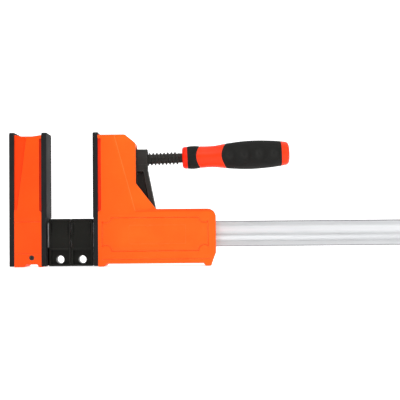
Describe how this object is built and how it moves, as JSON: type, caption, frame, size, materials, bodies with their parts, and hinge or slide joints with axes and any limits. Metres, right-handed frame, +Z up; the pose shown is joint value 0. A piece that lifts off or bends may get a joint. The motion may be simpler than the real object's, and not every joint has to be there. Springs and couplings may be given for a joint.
{
  "type": "quick release bar clamp",
  "caption": "Parallel-jaw bar clamp: a fixed jaw, a sliding jaw pushed by a screw with a two-part handle, a steel rail and two work rests.",
  "frame": {"origin": "on the bench under the middle of the clamp's length and width", "axes": "+X along the rail from the fixed jaw to the free end, +Y across the jaws away from the pictured side, +Z up from the bench"},
  "size_m": [0.4862, 0.04, 0.146],
  "materials": {
    "rail_steel": "bright zinc-plated, drawn",
    "casing_orange": "moulded, slightly grained",
    "plate_black": "moulded, fine grain",
    "rest_black": "moulded, satin",
    "cast_black": "black painted casting",
    "spindle_black": "black oxide, oiled",
    "hard_steel": "ground, hardened",
    "screw_steel": "zinc plated",
    "bronze": "turned",
    "handle_red": "moulded, satin",
    "grip_black": "soft overmoulding, fine grain"
  },
  "bodies": {
    "rail_and_fixed_jaw": {"rail": "rail_steel", "rail_end_cap": "plate_black", "rail_stop_pin": "hard_steel", "rail_fixing_pin": "hard_steel", "fixed_jaw_core": "hard_steel", "fixed_shell_front": "casing_orange", "fixed_shell_rear": "casing_orange", "fixed_face_plate": "plate_black", "fixed_back_plate": "plate_black", "fixed_jaw_pin": "spindle_black", "fixed_shell_screw": "screw_steel"},
    "rest_left": {"work_rest_left": "rest_black"},
    "rest_right": {"work_rest_right": "rest_black"},
    "moving_jaw": {"jaw_shell_front": "casing_orange", "jaw_shell_rear": "casing_orange", "jaw_face_plate": "plate_black", "jaw_core": "hard_steel", "jaw_guide_front": "rest_black", "jaw_guide_rear": "rest_black", "jaw_shell_screws": "screw_steel", "thrust_pad": "hard_steel", "spindle_bush": "bronze"},
    "arm": {"clamp_arm": "cast_black", "spindle_nut": "bronze", "bite_pins": "hard_steel"},
    "spindle_and_handle": {"spindle": "spindle_black", "spindle_ring": "screw_steel", "handle_core": "handle_red", "handle_band": "grip_black", "handle_grip": "grip_black", "handle_cap": "handle_red", "handle_pin": "hard_steel"}
  },
  "joints": [
    {"name": "jaw_slide", "type": "slide", "parent": "rail_and_fixed_jaw", "child": "moving_jaw", "axis": [1, 0, 0], "range_m": [0, 0.25]},
    {"name": "arm_feed", "type": "slide", "parent": "moving_jaw", "child": "arm", "axis": [0.9993, 0, 0.0366], "range_m": [0, 0.028]},
    {"name": "spindle_turn", "type": "hinge", "parent": "moving_jaw", "child": "spindle_and_handle", "pos_m": [-0.10265, 0, 0.1165], "axis": [0.9993, 0, 0.0366], "range_deg": [-2520, 0]},
    {"name": "rest_left_slide", "type": "slide", "parent": "rail_and_fixed_jaw", "child": "rest_left", "axis": [1, 0, 0], "range_m": [0, 0.0834]},
    {"name": "rest_right_slide", "type": "slide", "parent": "rail_and_fixed_jaw", "child": "rest_right", "axis": [1, 0, 0], "range_m": [0, 0.1667]}
  ],
  "couplings": [
    {"joint": "spindle_turn", "follows": "arm_feed", "rad_per_m": -1570.8},
    {"joint": "rest_left_slide", "follows": "jaw_slide", "ratio": 0.33333},
    {"joint": "rest_right_slide", "follows": "jaw_slide", "ratio": 0.66667}
  ]
}
